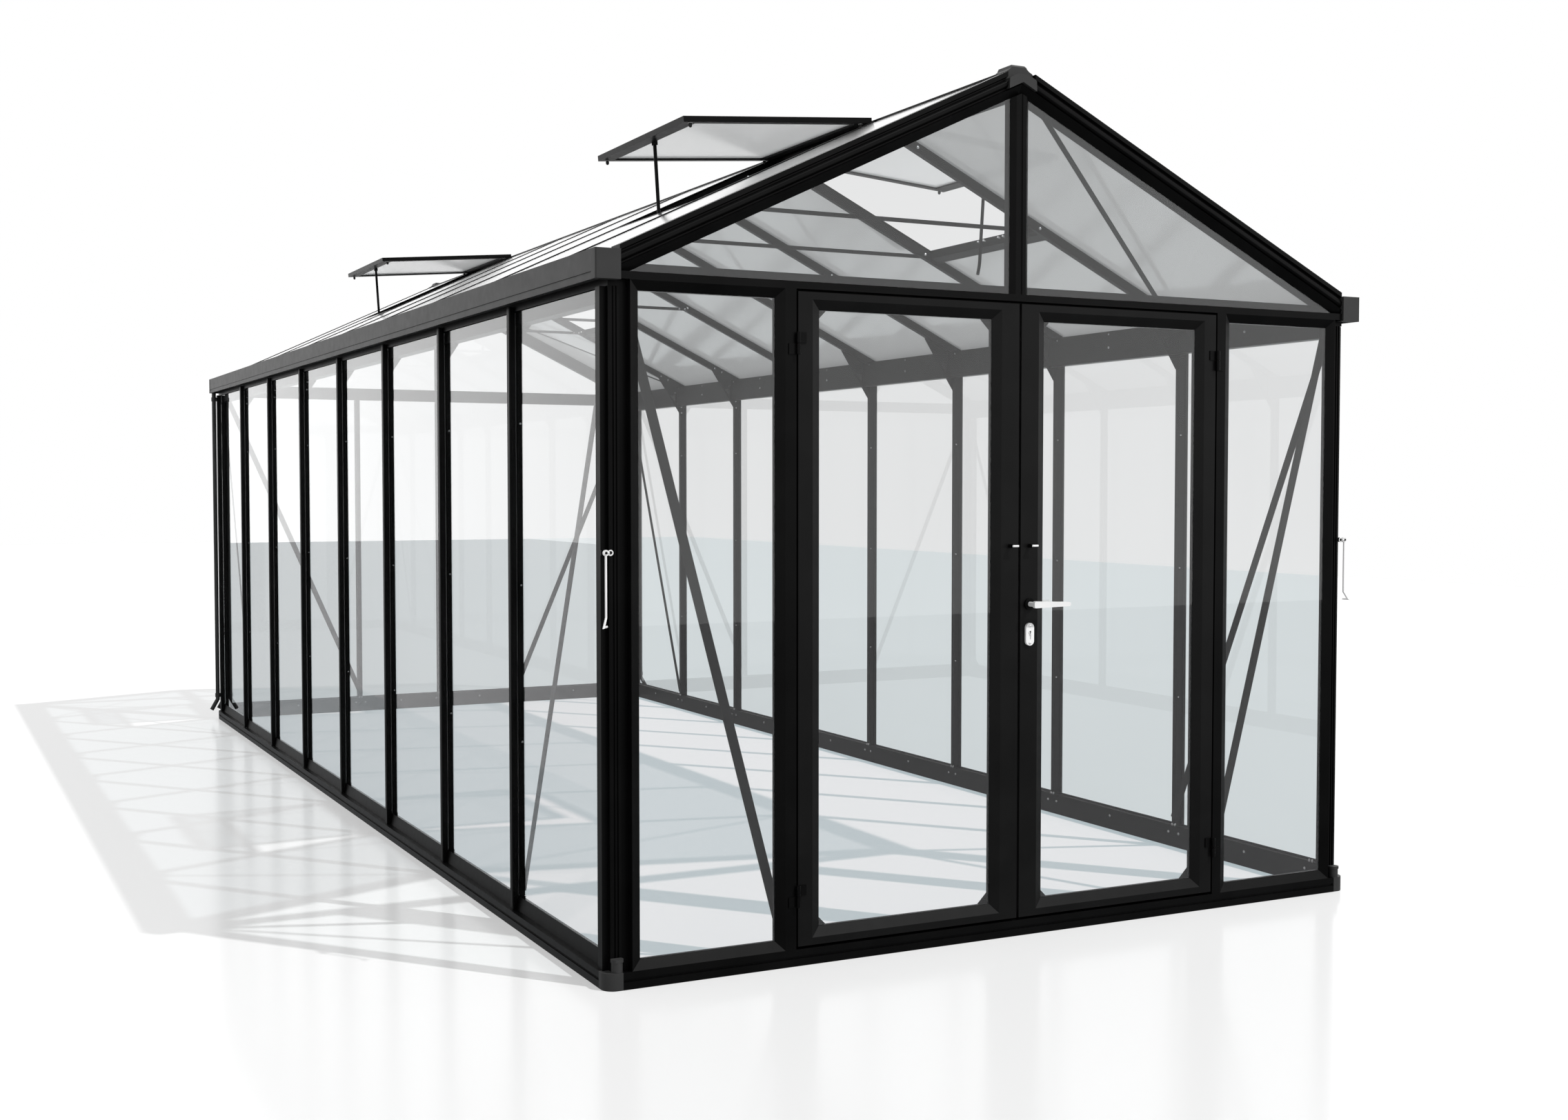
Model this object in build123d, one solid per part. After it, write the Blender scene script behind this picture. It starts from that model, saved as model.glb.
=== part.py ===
# A glass greenhouse on an aluminium frame: 8 bays long, with two hinged front doors,
# a polycarbonate roof and four roof vents that are propped open.
# Millimetres. +Z is up, +X runs right along the front gable, the front gable faces -Y.
# The origin is on the ground, under the centre of the base.
from build123d import *
from math import cos, radians, sin, tan
import os

os.makedirs("parts", exist_ok=True)

# Overall sizes
bay_count = 8
bay_pitch = 750.0
end_margin = 50.0                   # from the last bay line to the outer face of the base
base_width = 2570.0
roof_pitch = 25.4                   # degrees
base_height = 46.0
post_top = 1830.0
eave_rise = 93.7                    # from the top of the posts to the roof surface over the walls

# Clearances
seat_gap = 0.3                      # between pieces that lie side by side
swing_gap = 6.0                     # between a moving piece and what stands still

# Base rail
base_depth = 50.0
base_ledge = 25.0                   # from the outer face of the base to the wall
sill_height = 86.0
sill_toe = 4.0
upstand_height = 79.0
glass_seat = 72.0
groove_height = 24.0
groove_width = 8.0
groove_depth = 5.0
base_corner_radius = 35.0

# Glass and panels
glass_thickness = 4.0
glass_setback = 3.0                 # from the wall face to the outside of the glass
panel_thickness = 6.0

# Corner posts and wall bars
post_leg = 50.0
post_depth = 25.0                   # from the wall line to the inside
post_corner_radius = 4.5
flute_width = 5.0
flute_depth = 4.0
flute_places = (11.0, 20.0)         # from the post's corner to each flute
post_cap_inset = 18.5               # from the post's corner to the cap on its side
post_cap_stand = 17.5               # from the wall line to the cap's outer face
bar_cap_width = 26.0
bar_cap_stand = 20.5                # from the glass to the outer face of the cap
bar_cap_edge = 3.0
bar_seal_height = 7.0
bar_seal_width = 16.0
bar_neck = 6.0
bar_web_width = 22.0

# Eaves
gutter_reach = 22.0                 # from the outer face of the base to the gutter's outer face
gutter_rise = 14.0                  # from the top of the posts to the gutter's lower lip
gutter_height = 78.0
gutter_wall = 3.5
gutter_floor = 8.0                  # from the gutter's lower lip to its floor
gutter_lip = 14.0                   # from the lower lip to the groove in the outer face
gutter_groove = 6.0
end_cap_reach = 8.0                 # how far the end caps stand before the gable
end_cap_width = 69.5
end_cap_stand = 0.5                 # how far they stand beside the gutter
end_cap_radius = 5.0
eave_beam_drop = 38.0               # from the top of the posts to the underside of the beam
eave_beam_depth = 50.0

# Roof members, measured square to the roof from its outer surface
verge_depth = 73.0
verge_width = 60.0
verge_top_band = 13.0               # depth of the plain band along the upper edge
verge_low_band = 49.0               # depth where the lower band starts
bead_radius = 11.0
bead_set_back = 10.0
bead_depth = 31.0
cap_height = 3.0
cap_edge = 1.5
rafter_depth = 39.0
panel_overhang = 15.0               # from the base's outer face, over the gutter
ridge_top_drop = 5.0                # from where the roofs would meet to the flat top of the ridge
ridge_flat = 15.0
ridge_half_width = 34.0
ridge_throat = 16.0                 # from the centre line to the end of the panels' pocket
ridge_web = 24.0
ridge_throat_depth = 26.0
ridge_depth = 92.0
ridge_lip_rise = 3.0                # how far the ridge's lips stand over the roof surface
ridge_cap_rise = 2.5                # from where the roofs would meet to the crown of the end cap
ridge_cap_flat = 22.5
ridge_cap_reach = 87.0              # depth of the end cap along the ridge
ridge_cap_plate = 32.0              # how deep its front plate reaches behind the gable's face
ridge_cap_stand = 8.0               # how far the front plate stands before the gable
ridge_cap_crown = 15.0              # from the gable's face to the front of the crown
ridge_cap_half = 47.0
ridge_cap_under = 50.0              # from the roof surface down to the plate's underside, plumb
ridge_cap_skirt = 12.0              # from the roof surface to the crown's underside, square to it
ridge_cap_step = 9.5                # drop from the crown's flat top to its shoulders
ridge_cap_bevel = 6.0

# Front gable
transom_nose_low = post_top + 17
transom_nose_high = post_top + 37
transom_low = post_top - 8
transom_high = post_top + 60
frame_depth = 30.0
bevel_width = 27.0
bevel_depth = 14.0
jamb_inner = 728.0                  # from the centre line to the jamb's edge in the doorway
jamb_face = 32.0
jamb_stop = 28.0                    # how far the stop reaches behind the leaf
king_post_width = 63.0
glass_rebate = 8.0

# Back gable
back_mullion = 480.0                # from the centre line
transom_face_stand = 12.0

# Door leaves
leaf_gap = 5.5                      # beside the jambs
meeting_gap = 8.0
leaf_low = 54.0
leaf_high = transom_nose_low - 7
hinge_stile = 44.0
meeting_stile = 60.0
leaf_rail = 20.0
pin_stand = 8.0                     # from the front of the leaf to the hinge pins
hinge_length = 60.0
hinge_radius = 6.0
hinge_pin_radius = 3.0
hinge_plate = 3.0
hinge_plate_width = 24.0
hinge_from_end = 110.0
gusset_leg = 52.0
gusset_thickness = 3.0
gusset_lap = 12.0                   # how far the plates lie over the frame
threshold_height = 16.0

# Door furniture
lever_height = 972.0
lever_length = 118.0
lever_width = 20.0
lever_thickness = 10.0
lever_stand = 44.0                  # from the front of the leaf to the front of the lever
spindle_radius = 7.0
rose_radius = 17.0
rose_depth = 6.0
key_plate_drop = 88.0               # from the lever to the middle of the key plate
key_plate_height = lever_height - key_plate_drop
key_plate_width = 28.0
key_plate_length = 66.0
key_plate_depth = 7.0
knob_rise = 170.0                   # from the lever to the knob
knob_height = lever_height + knob_rise
knob_radius = 6.0
knob_length = 20.0

# Door hooks beside the corner posts
hook_height = knob_height
hook_length = 192.0
hook_radius = 3.0
hook_eye_radius = 8.0
hook_eye_width = 6.0
hook_crank = 10.0                   # how far the tip is bent out
hook_reach_out = 14.0               # from the post's side to the hook
hook_reach_front = 11.0             # from the post's front face to the hook
hook_peg_radius = 3.0
hook_bracket_width = 14.0

# Roof vents
vent_bays = (1, 6)                  # counted from the front, starting at 0
vent_length = 673.0
vent_width = 740.0
vent_thickness = 18.5
vent_border = 50.0
vent_side_border = 28.0
vent_opening = 20.5                 # degrees from the roof, propped open
vent_hinge_drop = 3.0               # from where the roofs would meet to the lid's upper edge
vent_sill_short = 32.0              # how far the sill's upper edge stays short of the lid's length
vent_sill_out = vent_length - vent_sill_short   # from the centre line to the sill's upper edge
vent_sill_width = 33.0
vent_sill_lip = 13.0
vent_sill_depth = 30.0              # from the roof surface to the sill's underside
stay_radius = 6.0
stay_knuckle_size = 14.0
stay_knuckle_length = 18.0
stay_clearance = 1.5                # between the rod and the sill
stay_tail = 60.0                    # from the underside of the sill to the bend
stay_tip = 40.0

# Braces
tie_drop = 327.0                    # from where the roofs would meet to the ties
tie_depth = 14.0
tie_end_inset = 68.0                # from the roof surface to the ends of the ties, level
strap_thickness = 3.0
wall_strap_width = 28.0
roof_strap_width = 20.0
roof_strap_inset = 100.0            # from the centre line to the upper end of the roof straps
knee_drop = 91.0                    # from the top of the posts to the foot of the plates
knee_run = 166.0                    # from the wall line to their far corner
knee_lap = 14.0
knee_rim = 10.0                     # around the small window in the plates
knee_window = 40.0

# Downpipes and pipe sockets
pipe_radius = 11.0
pipe_collar = 3.0
pipe_collar_length = 22.0
pipe_inset = 25.0                   # from the post's corner to the side pipe's centre line
gable_pipe_inset = 15.0             # and to the gable pipe's
pipe_elbow_height = 115.0
pipe_tip_height = 55.0
pipe_tip_reach = 34.0
socket_radius = 15.0
socket_height = 35.0

# Worked out from the sizes above
base_length = bay_count * bay_pitch + 2 * end_margin
half_width = base_width / 2
half_length = base_length / 2
inner_x = half_width - base_depth
inner_y = half_length - base_depth
wall_x = half_width - base_ledge
wall_y = half_length - base_ledge
pitch = radians(roof_pitch)
slope = (cos(pitch), 0, -sin(pitch))
ridge_height = post_top + eave_rise + wall_x * tan(pitch)   # where the two roof surfaces would meet
bay_lines = [bay_pitch * (i - bay_count / 2) for i in range(1, bay_count)]
bay_centres = [bay_pitch * (i - (bay_count - 1) / 2) for i in range(bay_count)]
gutter_x = half_width + gutter_reach
gutter_low = post_top + gutter_rise
gutter_top = gutter_low + gutter_height
end_cap_x = gutter_x - end_cap_width
post_inner_x = wall_x - post_leg
post_inner_y = wall_y - post_leg
panel_edge_x = half_width + panel_overhang
web_top = cap_height + panel_thickness
vent_hinge_height = ridge_height - vent_hinge_drop
tie_height = ridge_height - tie_drop
tie_half_length = tie_drop / tan(pitch) - tie_end_inset
knee_foot = post_top - knee_drop
knee_reach = wall_x - knee_run


def roof_z(x, depth=0.0):
    """Height of the roof at a distance x from the centre line, at a depth below its surface."""
    return ridge_height - abs(x) * tan(pitch) - depth / cos(pitch)


def roof_run(x):
    """Distance down the slope from the ridge to the plumb line at x."""
    return abs(x) / cos(pitch)


def block(x0, x1, y0, y1, z0, z1):
    """A rectangular piece between two corners."""
    centre = Pos((x0 + x1) / 2, (y0 + y1) / 2, (z0 + z1) / 2)
    return centre * Box(abs(x1 - x0), abs(y1 - y0), abs(z1 - z0))


def outline(points):
    return make_face(Polyline(*points, close=True))


def along_x(points, x0, x1):
    """An outline of (y, z) points drawn out from x0 to x1."""
    plane = Plane(origin=(x0, 0, 0), x_dir=(0, 1, 0), z_dir=(1, 0, 0))
    return extrude(plane * outline(points), amount=x1 - x0, dir=(1, 0, 0))


def along_y(points, y0, y1):
    """An outline of (x, z) points drawn out from y0 to y1."""
    plane = Plane(origin=(0, y0, 0), x_dir=(1, 0, 0), z_dir=(0, -1, 0))
    return extrude(plane * outline(points), amount=y1 - y0, dir=(0, 1, 0))


def along_z(points, z0, z1):
    """An outline of (x, y) points drawn up from z0 to z1."""
    return extrude(Pos(0, 0, z0) * outline(points), amount=z1 - z0, dir=(0, 0, 1))


def down_slope(points, run0, run1):
    """An outline of (y, height above the roof surface) points drawn down the right slope."""
    start = (run0 * slope[0], 0, ridge_height + run0 * slope[2])
    plane = Plane(origin=start, x_dir=(0, 1, 0), z_dir=slope)
    return extrude(plane * outline(points), amount=run1 - run0, dir=slope)


def rod(start, end, radius):
    """A round bar between two points."""
    reach = Vector(*end) - Vector(*start)
    plane = Plane(origin=start, z_dir=reach.normalized())
    return extrude(plane * Circle(radius), amount=reach.length, dir=reach.normalized())


def left_of(shape):
    """The same piece on the other side of the house."""
    return mirror(shape, about=Plane.YZ)


def back_of(shape):
    """The same piece at the other gable."""
    return mirror(shape, about=Plane.XZ)


def save(node, pieces):
    """Writes one sub-part; its pieces are solids that don't touch."""
    solids = [solid for piece in pieces for solid in piece.solids()]
    export_step(Compound(label=node, children=solids), "parts/" + node + ".step")


# Wall section, drawn for the right wall as (x, z) and shifted for the gables
def base_outline(outer):
    """Base rail with its ledge, grooved face, sloping sill and glass seat, lower side outwards."""
    wall = outer - base_ledge
    glass_out = wall - glass_setback
    glass_in = glass_out - glass_thickness
    inner = outer - base_depth
    low = groove_height - groove_width / 2
    high = groove_height + groove_width / 2
    foot = [(inner, 0), (outer, 0), (outer, low), (outer - groove_depth, low)]
    face = [(outer - groove_depth, high), (outer, high), (outer, base_height)]
    sill = [(wall + sill_toe, base_height), (glass_out + seat_gap, sill_height)]
    seat = [(glass_out + seat_gap, glass_seat), (glass_in - seat_gap, glass_seat)]
    upstand = [(glass_in - seat_gap, upstand_height), (inner, upstand_height)]
    return foot + face + sill + seat + upstand


def front_base_outline(outer):
    """Base rail under the doors: the same grooved face, flat on top."""
    low = groove_height - groove_width / 2
    high = groove_height + groove_width / 2
    foot = [(outer - base_depth, 0), (outer, 0), (outer, low), (outer - groove_depth, low)]
    face = [(outer - groove_depth, high), (outer, high), (outer, base_height)]
    return foot + face + [(outer - base_depth, base_height)]


def turned(points):
    """Points measured out from the centre, for the front gable, which faces -Y."""
    return [(-across, height) for across, height in points]


side_base = along_y(base_outline(half_width), -post_inner_y, post_inner_y)
side_base_ends = along_y(front_base_outline(half_width), -inner_y, inner_y)
side_base = (side_base + side_base_ends).clean()
back_base = along_x(base_outline(half_length), -post_inner_x, post_inner_x)
back_base = (back_base + along_x(front_base_outline(half_length), -inner_x, inner_x)).clean()
front_base = along_x(turned(front_base_outline(half_length)), -inner_x, inner_x)
leaf_back = -half_length + frame_depth
stop_front = leaf_back + swing_gap
threshold = block(-jamb_inner + jamb_stop, jamb_inner - jamb_stop, stop_front, -inner_y,
                  base_height, base_height + threshold_height)
front_base = (front_base + threshold).clean()


def base_corner():
    """Moulded corner of the base, rounded outside, at the front right."""
    corner = block(inner_x, half_width, -half_length, -inner_y, 0, base_height)
    edge = corner.edges().filter_by(Axis.Z).sort_by(Axis.X)[-2:].sort_by(Axis.Y)[0]
    return fillet(edge, base_corner_radius)


def corner_post():
    """L-shaped post at the front right, rounded and fluted, with a cap over the side glass."""
    points = [(wall_x, -wall_y), (wall_x, -post_inner_y), (wall_x - post_depth, -post_inner_y),
              (wall_x - post_depth, -wall_y + post_depth), (post_inner_x, -wall_y + post_depth),
              (post_inner_x, -wall_y)]
    section = outline(points)
    corner = section.vertices().sort_by(Axis.X)[-2:].sort_by(Axis.Y)[0]
    section = fillet(corner, post_corner_radius)
    section -= Pos(wall_x, -wall_y + flute_places[0]) * Rectangle(2 * flute_depth, flute_width)
    for place in flute_places:
        section -= Pos(wall_x - place, -wall_y) * Rectangle(flute_width, 2 * flute_depth)
    post = extrude(Pos(0, 0, base_height) * section, amount=post_top - base_height, dir=(0, 0, 1))
    cap = block(wall_x, wall_x + post_cap_stand, -wall_y + post_cap_inset, -post_inner_y,
                base_height, post_top)
    return (post + cap).clean()


def back_post():
    """The corner post at the back right, with a second cap on the gable side."""
    cap = block(wall_x - post_cap_inset - pipe_collar, post_inner_x, -wall_y - post_cap_stand, -wall_y,
                base_height, transom_low)
    return back_of((corner_post() + cap).clean())


# Gables: verge rafters and the front transom
nose_y = -half_length
glass_front_y = -half_length + bevel_depth + seat_gap
glass_back_y = glass_front_y + glass_thickness


def verge(glass_out, glass_in):
    """Right verge rafter of the front gable, stepped over the edge of the gable glass."""
    step_out = glass_out - seat_gap
    step_in = glass_in + seat_gap
    inner = -half_length + verge_width
    neck = -verge_depth + glass_rebate + seat_gap
    bead = [(nose_y + bead_set_back - bead_radius * sin(radians(angle)),
             -bead_depth + bead_radius * cos(radians(angle))) for angle in range(0, 181, 30)]
    front = [(nose_y, 0), (nose_y, -verge_top_band), (nose_y + bead_set_back, -verge_top_band - 3)]
    front += bead + [(nose_y + bead_set_back, -verge_low_band + 3), (nose_y, -verge_low_band)]
    front += [(step_out, -verge_depth)]
    rebate = [(step_out, neck), (step_in, neck), (step_in, -verge_depth), (inner, -verge_depth)]
    bar = down_slope(front + rebate + [(inner, 0)], -verge_width, roof_run(gutter_x) + verge_width)
    return bar & block(seat_gap / 2, end_cap_x, -half_length, 0, 0, ridge_height - ridge_top_drop)


def transom():
    """Beam over the doors: a narrow nose outside and a deeper body behind the leaves."""
    glass_line = glass_back_y + seat_gap
    points = [(nose_y, transom_nose_low), (stop_front, transom_nose_low),
              (stop_front, transom_low), (-inner_y, transom_low), (-inner_y, transom_high),
              (glass_line, transom_high), (glass_line, transom_nose_high),
              (nose_y, transom_nose_high)]
    beam = along_x(points, -post_inner_x, post_inner_x)
    nose = block(-end_cap_x, end_cap_x, nose_y, -wall_y - seat_gap, transom_nose_low,
                 transom_nose_high)
    return (beam + nose).clean()


front_transom = transom()
front_verge = verge(glass_front_y, glass_back_y) - front_transom


def under_verges(low):
    """Space between the verge rafters of a gable, from a height up to their undersides."""
    half = king_post_width
    right = [(half, low), (half, roof_z(half, verge_depth)), (0, roof_z(0, verge_depth))]
    return along_y([(-x, z) for x, z in right[:2]] + right[::-1], -half_length, half_length)


def king_post():
    """Upright in the middle of the gable, with bevelled halves and a groove between them."""
    half = king_post_width / 2
    step_out = glass_front_y - seat_gap
    step_in = glass_back_y + seat_gap
    right = [(3, nose_y + 3), (5, nose_y), (half - 14, nose_y), (half, step_out), (10, step_out),
             (10, step_in), (half - 6, step_in), (half - 6, -inner_y)]
    left = [(-x, y) for x, y in reversed(right)]
    post = along_z(right + left, transom_nose_high, ridge_height)
    return (post - front_transom) & under_verges(transom_nose_high)


front_king = king_post()

# Ridge, eaves and gutter
cap_under = cap_height - seat_gap
panel_top_x = ridge_half_width - 10
ridge_lip_top = roof_z(ridge_half_width) + ridge_lip_rise
ridge_top = ridge_height - ridge_top_drop
verge_inner_y = half_length - verge_width
ridge_right = [
    (ridge_flat, ridge_top), (ridge_half_width, ridge_lip_top),
    (ridge_half_width, roof_z(ridge_half_width, cap_under)), (ridge_throat, roof_z(ridge_throat, cap_under)),
    (ridge_throat, roof_z(ridge_throat, web_top)),
    (ridge_web / 2, roof_z(ridge_throat, ridge_throat_depth)), (ridge_web / 2, ridge_height - ridge_depth)]


def mirrored_outline(right):
    """A closed outline from the points of its right half, top to bottom."""
    return right + [(-across, height) for across, height in reversed(right) if across != 0]


ridge = along_y(mirrored_outline(ridge_right), -verge_inner_y, verge_inner_y)


crown_front = -half_length + ridge_cap_crown


def ridge_hood():
    """Crown of the ridge's end cap, laid over the heads of the verge rafters and the ridge's end."""
    edge = ridge_cap_half
    crown_top = ridge_height + ridge_cap_rise
    crown = [(ridge_cap_flat, crown_top), (ridge_cap_flat + 4.5, crown_top - ridge_cap_step)]
    over_verges = crown + [(ridge_half_width, ridge_lip_top), (edge, roof_z(edge) + 2),
                           (edge, roof_z(edge, ridge_cap_skirt)), (0, roof_z(0, ridge_cap_skirt))]
    over_ridge = crown + [(ridge_half_width, ridge_lip_top + seat_gap), (ridge_flat, ridge_top + seat_gap)]
    front = along_y(mirrored_outline(over_verges), crown_front, -verge_inner_y)
    rear = along_y(mirrored_outline(over_ridge), -verge_inner_y, -half_length + ridge_cap_reach)
    bevel = [(crown_front, crown_top - ridge_cap_bevel), (crown_front + ridge_cap_bevel, crown_top),
             (crown_front, crown_top)]
    return (front + rear - along_x(bevel, -edge, edge)).clean()


def ridge_plate():
    """Plain stepped front plate of the ridge's end cap and the neck that joins it to the crown."""
    half = ridge_cap_half
    low = [(half, roof_z(half) - ridge_cap_under), (0, ridge_height - ridge_cap_under)]
    face = [(16, ridge_height - 28), (half - 4, ridge_height - 40), (half - 1, ridge_height - 44),
            (half, ridge_height - 59)]
    neck = [(0, roof_z(0, ridge_cap_skirt)), (half, roof_z(half, ridge_cap_skirt))]
    plate = along_y(mirrored_outline(face + low), -half_length - ridge_cap_stand, crown_front)
    return plate + along_y(mirrored_outline(neck + low), crown_front, -half_length + ridge_cap_plate)


def ridge_plate_space():
    """What the front plate takes from the heads of the verge rafters."""
    half = ridge_cap_half + seat_gap
    under = ridge_cap_under + seat_gap
    top = ridge_height + ridge_cap_rise
    right = [(half, top), (half, roof_z(half) - under), (0, ridge_height - under)]
    return along_y(mirrored_outline(right), -half_length - 1, -half_length + ridge_cap_plate + seat_gap)


hood = ridge_hood()
ridge_cap = (hood + ridge_plate()).clean()
front_verge = front_verge - hood - ridge_plate_space()

eave_inner_x = wall_x + 2 - eave_beam_depth
gutter_inner_x = wall_x + 2
glass_inner_x = wall_x - glass_setback - glass_thickness
eave_points = [
    (eave_inner_x, post_top - eave_beam_drop), (glass_inner_x - seat_gap, post_top - eave_beam_drop),
    (glass_inner_x - seat_gap, post_top), (gutter_inner_x, post_top),
    (gutter_inner_x, roof_z(gutter_inner_x, rafter_depth)),
    (eave_inner_x, roof_z(eave_inner_x, rafter_depth))]
eave_low = along_y(eave_points, -post_inner_y, post_inner_y)
eave_high = along_y(eave_points, -wall_y, wall_y)
eave_high = eave_high & block(0, gutter_x, -wall_y, wall_y, post_top, gutter_top)
eave_beam = (eave_low + eave_high).clean()
eave_beam = eave_beam - front_transom - back_of(front_transom) - front_verge - back_of(front_verge)

gutter_back_x = gutter_inner_x + gutter_wall
gutter_back_top = roof_z(gutter_back_x, web_top) - 1
gutter_base = gutter_low + gutter_floor
groove_low = gutter_low + gutter_lip
groove_high = groove_low + gutter_groove
groove_x = gutter_x - 2.5
gutter_points = [
    (gutter_x, gutter_low), (gutter_x, groove_low), (groove_x, groove_low), (groove_x, groove_high),
    (gutter_x, groove_high), (gutter_x, gutter_top), (gutter_x - gutter_wall, gutter_top),
    (gutter_x - gutter_wall, gutter_base + gutter_wall), (gutter_back_x, gutter_base + gutter_wall),
    (gutter_back_x, gutter_back_top), (gutter_inner_x, gutter_back_top), (gutter_inner_x, gutter_base),
    (gutter_x - gutter_wall, gutter_base), (gutter_x - gutter_wall, gutter_low)]
gutter = along_y(gutter_points, -wall_y, wall_y)


def gutter_end():
    """Moulded cap on the gutter's front end, rounded outside."""
    cap = block(end_cap_x, gutter_x + end_cap_stand, -half_length - end_cap_reach, -wall_y,
                gutter_low, gutter_top)
    edge = cap.edges().filter_by(Axis.Z).sort_by(Axis.X)[-2:].sort_by(Axis.Y)[0]
    return fillet(edge, end_cap_radius)


# Bars between the panes
def bar_outline(outer):
    """Glazing bar as (across, out) points: cap on a seal outside, neck between panes, web inside."""
    glass_out = outer - glass_setback
    glass_in = glass_out - glass_thickness
    inner = outer - post_depth
    half_cap = bar_cap_width / 2
    half_web = bar_web_width / 2
    half_neck = bar_neck / 2
    half_seal = bar_seal_width / 2
    face = glass_out + bar_cap_stand
    right = [(half_cap - bar_cap_edge, face), (half_cap, face - bar_cap_edge),
             (half_cap, glass_out + bar_seal_height), (half_seal, glass_out + bar_seal_height),
             (half_seal, glass_out + seat_gap), (half_neck, glass_out + seat_gap),
             (half_neck, glass_in - seat_gap), (half_web, glass_in - seat_gap), (half_web, inner)]
    return right + [(-across, out) for across, out in reversed(right)]


def side_bar(y):
    points = [(out, y + across) for across, out in bar_outline(wall_x)]
    return along_z(points, base_height, gutter_low) - side_base - eave_beam


def back_bar(x, top):
    points = [(x + across, out) for across, out in bar_outline(wall_y)]
    return along_z(points, base_height, top) - back_base


# Roof bars and panels
def rafter(y):
    """Right rafter at a bay line: cap outside, neck between panels, web inside."""
    half_cap = bar_cap_width / 2
    half_neck = bar_neck / 2
    half_web = bar_web_width / 2
    cap = [(half_cap - cap_edge, 0), (half_cap, -cap_edge), (half_cap, -cap_height), (half_neck, -cap_height),
           (half_neck, -web_top)]
    web = [(half_web, -web_top), (half_web, -rafter_depth)]

    def drawn(right):
        points = [(y + across, out) for across, out in mirrored_outline(right)]
        return down_slope(points, 0, roof_run(gutter_x) + rafter_depth)

    over_house = block(ridge_web / 2, gutter_inner_x, -half_length, half_length, 0, ridge_height)
    over_gutter = block(gutter_inner_x - 1, panel_edge_x, -half_length, half_length, 0, ridge_height)
    bar = (drawn(cap + web) & over_house) + (drawn(cap) & over_gutter)
    return (bar - ridge).clean()


def roof_panel(y0, y1, x_high):
    """Right roof panel between two bars, from x_high down over the gutter."""
    points = [(y0, -cap_height), (y1, -cap_height), (y1, -web_top), (y0, -web_top)]
    sheet = down_slope(points, roof_run(x_high), roof_run(panel_edge_x) + rafter_depth)
    return sheet & block(0, panel_edge_x, -half_length, half_length, 0, ridge_height)


def bay_edges(i):
    """The two edges of the sheet in bay i, clear of the bars or the verge rafters."""
    centre = bay_centres[i]
    half = bay_pitch / 2 - bar_neck / 2 - 1
    low = centre - half
    high = centre + half
    if i == 0:
        low = -verge_inner_y + seat_gap
    if i == bay_count - 1:
        high = verge_inner_y - seat_gap
    return low, high


vent_sill_low = vent_sill_out + vent_sill_width


def roof_panels():
    sheets = []
    for i in range(bay_count):
        low, high = bay_edges(i)
        top = vent_sill_out + vent_sill_lip + 7 if i in vent_bays else panel_top_x
        sheets.append(roof_panel(low, high, top))
    return sheets


# Vents
lid_angle = pitch - radians(vent_opening)
lid_hinge_x = ridge_half_width + seat_gap + vent_thickness * sin(lid_angle)
panel_lap = 8.0


def lid_plane(y):
    """Plane of a lid's outer surface: x down the lid, y along the ridge."""
    down = (cos(lid_angle), 0, -sin(lid_angle))
    up = (sin(lid_angle), 0, cos(lid_angle))
    return Plane(origin=(lid_hinge_x, y, vent_hinge_height), x_dir=down, z_dir=up)


def lid_board(y, grow, thickness):
    """Flat board in the lid's window, grown past the window's edges."""
    long = vent_length - 2 * vent_border + 2 * grow
    wide = vent_width - 2 * vent_side_border + 2 * grow
    return lid_plane(y) * Pos(vent_length / 2, 0, -vent_thickness / 2) * Box(long, wide, thickness)


def vent_frame(y):
    """Rim of one lid, open in the middle for its panel and trimmed to clear the roof bars."""
    rim = Pos(vent_length / 2, 0, -vent_thickness / 2) * Box(vent_length, vent_width, vent_thickness)
    rim = lid_plane(y) * rim
    roof = [(-half_length, -rafter_depth), (half_length, -rafter_depth), (half_length, seat_gap),
            (-half_length, seat_gap)]
    below = down_slope(roof, 0, roof_run(wall_x))
    rim -= lid_board(y, 0, 2 * vent_thickness)
    return rim - lid_board(y, panel_lap, panel_thickness + 2 * seat_gap) - below


def vent_panel(y):
    return lid_board(y, panel_lap - seat_gap, panel_thickness)


def vent_sill(y):
    """Cross bar under the lower edge of an open vent, between two rafters."""
    half = bay_pitch / 2 - bar_web_width / 2
    inset = bay_pitch / 2 - bar_cap_width / 2 - 1
    x0 = vent_sill_out
    x1 = vent_sill_low
    lip_x = vent_sill_out + vent_sill_lip
    body = [(x0, roof_z(x0, vent_sill_depth)), (x1, roof_z(x1, vent_sill_depth)),
            (x1, roof_z(x1, web_top)), (x0, roof_z(x0, web_top))]
    lip = [(x0, roof_z(x0, web_top + 1)), (lip_x, roof_z(lip_x, web_top + 1)), (lip_x, roof_z(lip_x, 2)),
           (x0, roof_z(x0, 2))]
    bar = along_y(body, y - half, y + half) + along_y(lip, y - inset, y + inset)
    return bar.clean()


def bent_rod(points, radius):
    """A round bar along straight runs that meet in mitres."""
    path = Polyline(*points)
    section = Plane(origin=path @ 0, z_dir=path % 0) * Circle(radius)
    return sweep(section, path=path, transition=Transition.RIGHT)


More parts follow.
